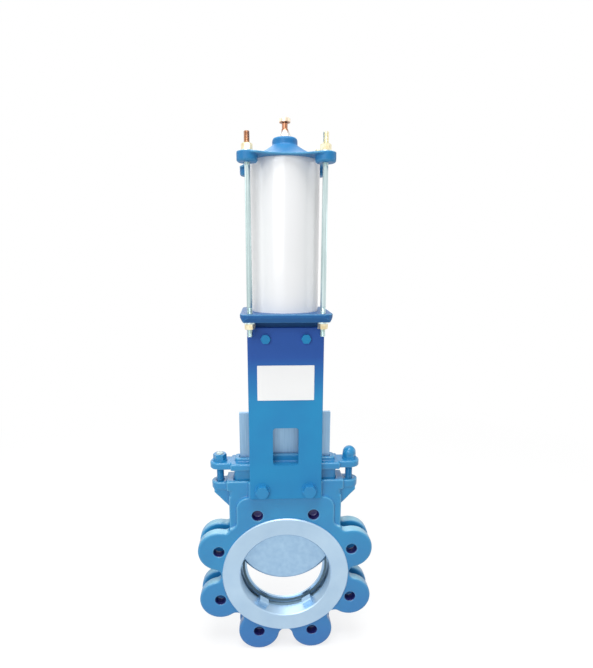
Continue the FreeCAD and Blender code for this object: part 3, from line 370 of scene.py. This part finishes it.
def ground_stainless(name, colours):
    """Stainless plate ground along its length: long scratches, drawn 0.9 mm apart to show.

    Where the gate has been through the packing it is greased and darker.
    """
    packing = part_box("packing_rings")[1].z

    def surface(tree, place):
        drawn = add(tree, "ShaderNodeVectorMath", {0: place, 1: (per(0.9), per(0.9), per(45))},
                    operation="MULTIPLY")
        marks = add(tree, "ShaderNodeTexNoise", {"Vector": drawn, "Scale": 1.0, "Detail": 3.0})
        bump = add(tree, "ShaderNodeBump", {"Height": marks, "Strength": 0.35,
                                            "Distance": 0.04 * MM})
        patch = add(tree, "ShaderNodeTexNoise", {"Vector": place, "Scale": per(9), "Detail": 8.0})
        dull = add(tree, "ShaderNodeMapRange", {"Value": patch, "From Min": 0.2, "From Max": 0.8})
        greased = coated(tree, colours.gate_light, [(marks, colours.gate_greased)])
        past = along_axis("Z", packing - 2 * MM, packing + 48 * MM)(tree, place)
        tone = coated(tree, colours.gate_light, [(dull, colours.gate_dull), (past, greased)])
        rough = add(tree, "ShaderNodeMapRange", {"Value": patch, "To Min": 0.42, "To Max": 0.52})
        return {"Base Color": tone, "Roughness": rough, "Normal": bump}
    return new_material(name, surface, Metallic=1.0)


def white_enamel(name, colour, peel_mm, roughness):
    """Stoved white enamel: near mirror-smooth with a slight orange peel."""
    def surface(tree, place):
        haze = add(tree, "ShaderNodeTexNoise", {"Vector": place, "Scale": per(90), "Detail": 2.0})
        tone = coated(tree, colour, [(haze, [c * 0.94 for c in colour])])
        peel = add(tree, "ShaderNodeTexNoise", {"Vector": place, "Scale": per(peel_mm)})
        bump = add(tree, "ShaderNodeBump", {"Height": peel, "Strength": 0.2, "Distance": 0.03 * MM})
        rough = add(tree, "ShaderNodeMapRange", {"Value": haze, "To Min": roughness - 0.04,
                                                 "To Max": roughness + 0.06})
        return {"Base Color": tone, "Roughness": rough, "Normal": bump}
    return new_material(name, surface, IOR=1.5, Coat_Weight=0.2, Coat_Roughness=0.08)


def moulded(name, colour, grain_mm, roughness):
    """Moulded or machined polymer: dull, with a fine even grain."""
    def surface(tree, place):
        grain = add(tree, "ShaderNodeTexNoise", {"Vector": place, "Scale": per(grain_mm),
                                                 "Detail": 3.0})
        tone = coated(tree, colour, [(grain, [c * 0.8 for c in colour])])
        bump = add(tree, "ShaderNodeBump", {"Height": grain, "Strength": 0.3,
                                            "Distance": 0.05 * MM})
        rough = add(tree, "ShaderNodeMapRange", {"Value": grain, "To Min": roughness - 0.06,
                                                 "To Max": roughness + 0.06})
        return {"Base Color": tone, "Roughness": rough, "Normal": bump}
    return new_material(name, surface, IOR=1.52)


def packing_braid(name, colours):
    """Square packing braided from greased strands, drawn 3 mm apart so that they show."""
    def surface(tree, place):
        strands = [add(tree, "ShaderNodeTexWave", {"Vector": place, "Scale": per(3) * WAVE_STEP,
                                                   "Distortion": 0.6},
                       bands_direction=axis, wave_profile="SIN") for axis in ("X", "Z")]
        weave = add(tree, "ShaderNodeMath", {0: strands[0].outputs["Fac"],
                                             1: strands[1].outputs["Fac"]}, operation="MULTIPLY")
        tone = coated(tree, [c * 0.4 for c in colours.braid], [(weave, colours.braid)])
        bump = add(tree, "ShaderNodeBump", {"Height": weave, "Strength": 0.8, "Distance": 0.4 * MM})
        return {"Base Color": tone, "Normal": bump}
    return new_material(name, surface, Roughness=0.7)


# --- shapes -----------------------------------------------------------------
def casting(name, node, mesh_size, rounds, sizes):
    """A soft-edged copy of a cast node: remeshed, smoothed, with sand-cast relief."""
    piece = new_piece(name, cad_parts[node].data.copy())
    remesh = piece.modifiers.new("remesh", "REMESH")
    remesh.mode = "VOXEL"
    remesh.voxel_size = mesh_size
    smooth = piece.modifiers.new("smooth", "SMOOTH")
    smooth.iterations = rounds
    graph = bpy.context.evaluated_depsgraph_get()
    mesh = bpy.data.meshes.new_from_object(piece.evaluated_get(graph))
    piece.modifiers.clear()
    piece.data = mesh
    low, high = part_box(node)
    spots = [Vector(vertex.co) for vertex in mesh.vertices]
    normals = [Vector(vertex.normal) for vertex in mesh.vertices]
    flat = []
    for spot, normal in zip(spots, normals):
        step = spot / sizes.cast_grain
        height = noise.noise(step) + FINE_RELIEF * noise.noise(step * FINE_STEP)
        moved = spot + normal * height * sizes.cast_relief
        flat += [min(max(c, a), b) for c, a, b in zip(moved, low, high)]
    mesh.vertices.foreach_set("co", flat)
    mesh.update()
    mesh.shade_smooth()
    return piece


def threaded_bar(radius, low, high, pitch, spans, centre):
    """Vertices and faces of an upright bar with a helical thread on the given height spans."""
    around, depth, rise = THREAD_SIDES, THREAD_DEPTH * pitch, pitch / THREAD_STEPS
    heights, z = [], low
    while z < high - rise:
        heights.append(z)
        inside = any(a <= z < b for a, b in spans)
        ahead = [a for a, b in spans if a > z] + [high]
        z = z + rise if inside else min(ahead)
    heights.append(high)
    verts, faces = [], []
    for z in heights:
        cut = any(a <= z <= b for a, b in spans)
        end = min(z - low, high - z)
        for k in range(around):
            turn = k / around
            wave = abs(((z / pitch - turn) % 1) * 2 - 1)
            r = radius - (depth * (1 - wave) if cut else 0)
            r = min(r, radius - depth + end)
            angle = 2 * math.pi * turn
            verts.append((centre[0] + r * math.cos(angle), centre[1] + r * math.sin(angle), z))
    for j in range(len(heights) - 1):
        for k in range(around):
            a, b = j * around + k, j * around + (k + 1) % around
            faces.append((a, b, b + around, a + around))
    faces.append(tuple(range(around))[::-1])
    faces.append(tuple(range((len(heights) - 1) * around, len(heights) * around)))
    return verts, faces


def bars_piece(name, bars):
    """One mesh from several lists of vertices and faces."""
    verts, faces = [], []
    for bar_verts, bar_faces in bars:
        start = len(verts)
        verts += bar_verts
        faces += [tuple(start + i for i in face) for face in bar_faces]
    mesh = bpy.data.meshes.new(name)
    mesh.from_pydata(verts, [], faces)
    mesh.shade_smooth()
    mesh.set_sharp_from_angle(angle=CREASE)
    return new_piece(name, mesh)


# --- operators --------------------------------------------------------------
class VALVE_OT_body(bpy.types.Operator):
    """Cast body with its stuffing box and bolting lugs"""
    bl_idname = "valve.body"
    bl_label = "Body"

    def execute(self, context):
        sizes, colours = context.scene.valve_sizes, context.scene.valve_colours
        guides_low, guides_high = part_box("gate_guides")
        walls = both(along_axis("Y", guides_low.y - FADE, guides_low.y),
                     along_axis("Y", guides_high.y + FADE, guides_high.y))
        # enamel over sand-cast iron: satin, with painted shade in corners and towards the bottom,
        # and a painted highlight where the lugs look up;
        # the gate's chamber is bare iron, and the tapped holes are oiled bare iron darkened further
        # with painted shade
        layers = [(along_axis("Z", 20 * MM, -150 * MM), colours.enamel_bottom_shade),
                  (both(looks_up, along_axis("Z", 120 * MM, 100 * MM)), colours.enamel_top_highlight),
                  (both(near_bore(CHAMBER_R + 2 * FADE, CHAMBER_R), walls), colours.chamber),
                  (in_bolt_holes, colours.thread_dark_and_shade)]
        paint = enamel("enamel_on_cast_iron", colours, (colours.enamel, colours.enamel_thin_and_highlight),
                       grain_mm=4.0, relief_mm=0.25, roughness=0.32, cast=True, layers=layers,
                       Specular_IOR_Level=0.4, Coat_Weight=0.3)
        body = casting("body_casting", "body", sizes.body_mesh, sizes.soften, sizes)
        settle(body, paint, BODY, "blue_enamel", "body")
        return {"FINISHED"}


class VALVE_OT_flow_path(bpy.types.Operator):
    """Raised-face rings, seat, seal, wedges and the gate with its guides"""
    bl_idname = "valve.flow_path"
    bl_label = "Flow path"

    def execute(self, context):
        colours = context.scene.valve_colours
        # turned stainless: rings of tool marks that catch the light in a fan
        finish_nodes(turned_stainless("turned_stainless", colours),
                     "inlet_liner", "outlet_ring", "seat_ring")
        # ground stainless: a dull, streaked grey-blue
        finish_nodes(ground_stainless("ground_stainless", colours), "gate", "gate_wedges")
        # moulded fluoroelastomer: matt grey-green with a fine grain
        finish_nodes(moulded("elastomer_seal", colours.seal, grain_mm=1.0, roughness=0.55),
                     "seat_seal")
        # machined polyethylene: milky, a little waxy
        finish_nodes(moulded("machined_polyethylene", colours.guide, grain_mm=2.0,
                             roughness=0.45), "gate_guides")
        # graphited braid: dark, with a woven relief
        finish_nodes(packing_braid("braided_packing", colours), "packing_rings")
        return {"FINISHED"}


class VALVE_OT_gland(bpy.types.Operator):
    """Gland follower with its studs, nuts and washers"""
    bl_idname = "valve.gland"
    bl_label = "Gland"

    def execute(self, context):
        sizes, colours = context.scene.valve_sizes, context.scene.valve_colours
        tones = (colours.enamel, colours.enamel_thin_and_highlight)
        # enamel over a cast gland: as on the body, with painted shade in corners and edges lighter
        # partly as painted highlight, a little smoother
        paint = enamel("enamel_on_cast_gland", colours, tones, grain_mm=4.0, relief_mm=0.2,
                       roughness=0.34, cast=True, Specular_IOR_Level=0.4, Coat_Weight=0.3)
        gland = casting("gland_casting", "gland", sizes.small_mesh, sizes.soften, sizes)
        settle(gland, paint, GLAND, "blue_enamel", "gland")
        # enamel over forged nuts and pressed washers: smooth, with a light gloss
        finish_nodes(enamel("enamel_on_gland_nuts", colours, tones, grain_mm=3.0, relief_mm=0.05,
                            roughness=0.3, Specular_IOR_Level=0.4, Coat_Weight=0.15),
                     "gland_hex_nut", "gland_cap_nut", "gland_washers")
        low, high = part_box("gland_studs")
        radius, middle = (high.y - low.y) / 2, (low.y + high.y) / 2
        spots = [vertex.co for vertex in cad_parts["gland_studs"].data.vertices]
        bars = []
        for side, x in ((-1, low.x + radius), (1, high.x - radius)):
            top = max(spot.z for spot in spots if spot.x * side > 0)
            bars.append(threaded_bar(radius, low.z, top, sizes.stud_pitch,
                                     [(low.z + radius, top)], (x, middle)))
        # enamel over rolled thread, worn to the zinc at the tip of the open stud
        worn = along_axis("Z", high.z - 2.5 * MM, high.z - 1.5 * MM)
        settle(bars_piece("gland_studs_threaded", bars),
               enamel("enamel_on_studs", colours, tones, grain_mm=3.0, relief_mm=0.05,
                      roughness=0.4, layers=[(worn, colours.zinc)]),
               BODY, "blue_enamel", "gland_studs")
        return {"FINISHED"}


class VALVE_OT_yoke(bpy.types.Operator):
    """Yoke plates, head, bolts and the blank nameplate"""
    bl_idname = "valve.yoke"
    bl_label = "Yoke"

    def execute(self, context):
        colours = context.scene.valve_colours
        tones = (colours.enamel, colours.enamel_thin_and_highlight)
        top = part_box("yoke_plate_front")[1].z
        # enamel over rolled plate: flat and even, darker at the top with a painted shadow of the
        # lower cover
        cover_shadow_mask = along_axis("Z", top - 110 * MM, top - 45 * MM)
        finish_nodes(enamel("enamel_on_steel_plate", colours, tones, grain_mm=9.0, relief_mm=0.06,
                            roughness=0.46, layers=[(cover_shadow_mask, colours.enamel_upper_shadow)],
                            Specular_IOR_Level=0.25),
                     "yoke_plate_front", "yoke_plate_rear")
        # enamel over a milled block: duller than the plates, and darker with painted shade under
        # the lower cover
        finish_nodes(enamel("enamel_on_yoke_head", colours,
                            (colours.enamel_cover_shade, colours.enamel_upper_shadow), grain_mm=6.0,
                            relief_mm=0.06, roughness=0.5, Specular_IOR_Level=0.25), "yoke_head")
        # enamel over bolt heads: smooth, a little glossier than the plates
        finish_nodes(enamel("enamel_on_fasteners", colours, tones, grain_mm=3.0, relief_mm=0.05,
                            roughness=0.36, Specular_IOR_Level=0.4),
                     "yoke_lower_bolts", "yoke_lower_washers")
        # touched-up enamel: a greener blue than what it stands on
        finish_nodes(enamel("enamel_on_upper_bolts", colours,
                            (colours.enamel_cyan, colours.enamel_thin_and_highlight), grain_mm=3.0,
                            relief_mm=0.05, roughness=0.4, Specular_IOR_Level=0.3),
                     "yoke_upper_bolts")
        # enamelled sheet: a clean, faintly uneven white
        finish_nodes(white_enamel("enamelled_nameplate", colours.plate_white, peel_mm=2.5,
                                  roughness=0.35), "nameplate")
        return {"FINISHED"}


class VALVE_OT_cylinder(bpy.types.Operator):
    """Cylinder tube, cast covers and the air fitting"""
    bl_idname = "valve.cylinder"
    bl_label = "Cylinder"

    def execute(self, context):
        sizes, colours = context.scene.valve_sizes, context.scene.valve_colours
        # stoved enamel on drawn tube: glossy white with soft, long reflections
        finish_nodes(white_enamel("stoved_white_enamel", colours.tube_white, peel_mm=3.0,
                                  roughness=0.22), "cylinder_tube")
        for node, colour in (("upper_cover", colours.enamel_cover),
                             ("lower_cover", colours.enamel_cover_shade)):
            cover = casting(node + "_casting", node, sizes.small_mesh, sizes.soften, sizes)
            # enamel over cast covers: dull satin, pale along the edges (partly worn thin, partly
            # painted highlight), with painted shade in corners; the lower cover's darker tone is
            # painted shade
            paint = enamel("enamel_on_" + node, colours, (colour, colours.enamel_thin_and_highlight),
                           grain_mm=3.5, relief_mm=0.15, roughness=0.42, cast=True,
                           Specular_IOR_Level=0.25)
            settle(cover, paint, BODY, "blue_enamel", node)
        # turned brass: nickel on the shoulder, tarnished below the bright tip
        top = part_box("air_fitting")[1].z
        layers = [(along_axis("Z", top - 20 * MM, top - 15 * MM), colours.brass_dark),
                  (along_axis("Z", top - 6 * MM, top - 4 * MM), colours.brass)]
        finish_nodes(plain_metal("turned_brass", colours.nickel, colours.brass, patch_mm=9,
                                 roughness=0.3, layers=layers), "air_fitting")
        # moulded nitrile rubber: near black, softly shining
        finish_nodes(moulded("nitrile_rings", colours.rubber, grain_mm=1.0, roughness=0.5),
                     "tube_orings")
        return {"FINISHED"}


class VALVE_OT_tie_rods(bpy.types.Operator):
    """Threaded tie rods with their nuts and washers"""
    bl_idname = "valve.tie_rods"
    bl_label = "Tie rods"

    def execute(self, context):
        sizes, colours = context.scene.valve_sizes, context.scene.valve_colours
        low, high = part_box("tie_rods")
        radius = sizes.rod_radius
        spans = [(low.z, low.z + sizes.rod_thread), (high.z - sizes.rod_thread, high.z)]
        bars = [threaded_bar(radius, low.z, high.z, sizes.rod_pitch, spans, (x, y))
                for x in (low.x + radius, high.x - radius)
                for y in (low.y + radius, high.y - radius)]
        nuts_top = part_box("tie_rod_nuts_upper")[1].z
        ends = along_axis("Z", nuts_top - 4 * MM, nuts_top + 3 * MM)
        left_end_reflection = both(ends, along_axis("X", 10 * MM, -10 * MM))
        # zinc-plated bar: pale and cool; the upper ends are yellow, and the left ones carry a
        # painted warm reflection
        bar = plain_metal("zinc_plated_bar", colours.zinc, colours.zinc_dull, patch_mm=60,
                          roughness=0.34,
                          layers=[(ends, colours.yellow_zinc), (left_end_reflection, colours.rod_warm_reflection)])
        settle(bars_piece("tie_rods_threaded", bars), bar, BODY, "zinc_steel", "tie_rods")
        # zinc-plated washers: as the bars
        finish_nodes(plain_metal("zinc_plated_steel", colours.zinc, colours.zinc_dull,
                                 patch_mm=60, roughness=0.34),
                     "tie_rod_washers_lower", "tie_rod_washers_upper")
        # yellow-passivated nuts: a cream tint with a reddish bloom
        finish_nodes(plain_metal("yellow_passivated_steel", colours.yellow_zinc,
                                 colours.yellow_zinc_red, patch_mm=7, roughness=0.3),
                     "tie_rod_nuts_lower", "tie_rod_nuts_upper")
        return {"FINISHED"}


class VALVE_OT_rod_and_piston(bpy.types.Operator):
    """Piston, rod, clevis and what they run in"""
    bl_idname = "valve.rod_and_piston"
    bl_label = "Rod and piston"

    def execute(self, context):
        colours = context.scene.valve_colours
        # turned aluminium: light grey with a soft sheen
        finish_nodes(plain_metal("turned_aluminium", colours.aluminium, colours.zinc_dull,
                                 patch_mm=10, roughness=0.3), "piston")
        # hard-chromed bar: the brightest and smoothest of the metals
        finish_nodes(plain_metal("hard_chromed_bar", colours.chrome, colours.zinc, patch_mm=30,
                                 roughness=0.18), "piston_rod")
        # bearing bronze: brown-gold with darker stains
        finish_nodes(plain_metal("bearing_bronze", colours.bronze, colours.brass_dark, patch_mm=5,
                                 roughness=0.35), "rod_bush", "wear_ring")
        # zinc-plated forgings: pale, with small dull patches
        finish_nodes(plain_metal("zinc_plated_fork", colours.zinc, colours.zinc_dull, patch_mm=8,
                                 roughness=0.35),
                     "piston_nut", "rod_locknut", "clevis", "clevis_pin", "clevis_clips")
        # moulded nitrile rubber: near black and matt
        finish_nodes(moulded("nitrile_packings", colours.rubber, grain_mm=1.0, roughness=0.55),
                     "piston_seals", "rod_seal", "rod_wiper")
        return {"FINISHED"}


def lamp(name, level, size, place, target):
    """A square soft lamp that lights a facing white surface to the given level."""
    data = bpy.data.lights.new(name, "AREA")
    data.size = size
    away = Vector(place) - Vector(target)
    data.energy = level * math.pi ** 2 * away.length_squared
    made = bpy.data.objects.new(name, data)
    made.location = place
    made.rotation_euler = away.to_track_quat("Z", "Y").to_euler()
    bpy.context.scene.collection.objects.link(made)


def seen_directly(tree):
    """1 for camera, glossy and transmitted rays, 0 for the rays that carry light."""
    path = add(tree, "ShaderNodeLightPath")
    seen = path.outputs["Is Camera Ray"]
    for other in ("Is Glossy Ray", "Is Transmission Ray"):
        seen = add(tree, "ShaderNodeMath", {0: seen, 1: path.outputs[other]}, operation="MAXIMUM")
    return seen


class VALVE_OT_stage(bpy.types.Operator):
    """Pale floor, white surroundings, soft lamps and the camera"""
    bl_idname = "valve.stage"
    bl_label = "Stage"

    def execute(self, context):
        scene, stage = context.scene, context.scene.valve_stage
        scene.view_settings.view_transform = "Standard"
        low, high = CAD_BOX
        self.make_world(scene, stage)
        self.make_floor(low.z)
        middle = (low + high) / 2
        for name, level, size, place in LAMPS:
            lamp(name, getattr(stage, level), size, middle + Vector(place), middle)
        self.make_camera(scene, stage)
        return {"FINISHED"}

    def make_world(self, scene, stage):
        """White where it is seen or mirrored, dimmer as a source of light."""
        world = bpy.data.worlds.new("studio")
        scene.world = world
        world.use_nodes = True
        tree = world.node_tree
        tree.nodes.clear()
        lit = add(tree, "ShaderNodeBackground", {"Color": WHITE, "Strength": stage.ambient})
        shown = add(tree, "ShaderNodeBackground", {"Color": WHITE, "Strength": 1.0})
        mixed = add(tree, "ShaderNodeMixShader", {0: seen_directly(tree), 1: lit, 2: shown})
        add(tree, "ShaderNodeOutputWorld", {"Surface": mixed})

    def make_floor(self, height):
        """A floor that bounces plain light, and is seen as white that keeps the shadow.

        Near the valve it glows and catches a shadow; further off it fades to plain white.
        """
        bpy.ops.mesh.primitive_plane_add(size=FLOOR_SIZE, location=(0, 0, height))
        floor = bpy.context.object
        floor.name = "floor"
        material = bpy.data.materials.new("pale_floor")
        material.use_nodes = True
        tree = material.node_tree
        tree.nodes.clear()
        bounce = add(tree, "ShaderNodeBsdfDiffuse", {"Color": linear("#D8D8D8")})
        catch = add(tree, "ShaderNodeBsdfDiffuse", {"Color": [0.3] * 3})
        glow = add(tree, "ShaderNodeEmission", {"Color": WHITE, "Strength": 0.74})
        near = add(tree, "ShaderNodeAddShader", {0: catch, 1: glow})
        far = add(tree, "ShaderNodeEmission", {"Color": WHITE, "Strength": 1.0})
        place = add(tree, "ShaderNodeTexCoord").outputs["Object"]
        away = add(tree, "ShaderNodeVectorMath", {0: place}, operation="LENGTH")
        fade = add(tree, "ShaderNodeMapRange", {"Value": away, "From Min": 0.5, "From Max": 1.6})
        shown = add(tree, "ShaderNodeMixShader", {0: fade, 1: near, 2: far})
        mixed = add(tree, "ShaderNodeMixShader", {0: seen_directly(tree), 1: bounce, 2: shown})
        add(tree, "ShaderNodeOutputMaterial", {"Surface": mixed})
        floor.data.materials.append(material)

    def make_camera(self, scene, stage):
        data = bpy.data.cameras.new("camera")
        data.lens = stage.lens
        data.shift_x, data.shift_y = stage.shift
        camera = bpy.data.objects.new("camera", data)
        camera.location = (stage.distance * math.sin(stage.turn),
                           -stage.distance * math.cos(stage.turn), stage.height)
        camera.rotation_euler = (math.pi / 2 - stage.tilt, 0, stage.turn)
        scene.collection.objects.link(camera)
        scene.camera = camera


class VALVE_PT_panel(bpy.types.Panel):
    """Builds the valve's finishes and its studio"""
    bl_idname = "VALVE_PT_panel"
    bl_label = "Knife gate valve"
    bl_space_type = "VIEW_3D"
    bl_region_type = "UI"
    bl_category = "Valve"

    def draw(self, context):
        for operator in OPERATORS:
            self.layout.operator(operator.bl_idname)
        for group in (context.scene.valve_colours, context.scene.valve_sizes,
                      context.scene.valve_stage):
            for key in group.__annotations__:
                self.layout.prop(group, key)


OPERATORS = (VALVE_OT_body, VALVE_OT_flow_path, VALVE_OT_gland, VALVE_OT_yoke, VALVE_OT_cylinder,
             VALVE_OT_tie_rods, VALVE_OT_rod_and_piston, VALVE_OT_stage)
GROUPS = {"valve_colours": ValveColours, "valve_sizes": ValveSizes, "valve_stage": StageSettings}


def register():
    for cls in (*GROUPS.values(), *OPERATORS, VALVE_PT_panel):
        bpy.utils.register_class(cls)
    for name, group in GROUPS.items():
        setattr(bpy.types.Scene, name, PointerProperty(type=group))


def unregister():
    for name in GROUPS:
        delattr(bpy.types.Scene, name)
    for cls in (VALVE_PT_panel, *reversed(OPERATORS), *reversed(list(GROUPS.values()))):
        bpy.utils.unregister_class(cls)


def main():
    register()
    for operator in OPERATORS:
        group, name = operator.bl_idname.split(".")
        getattr(getattr(bpy.ops, group), name)()


if __name__ == "__main__":
    main()
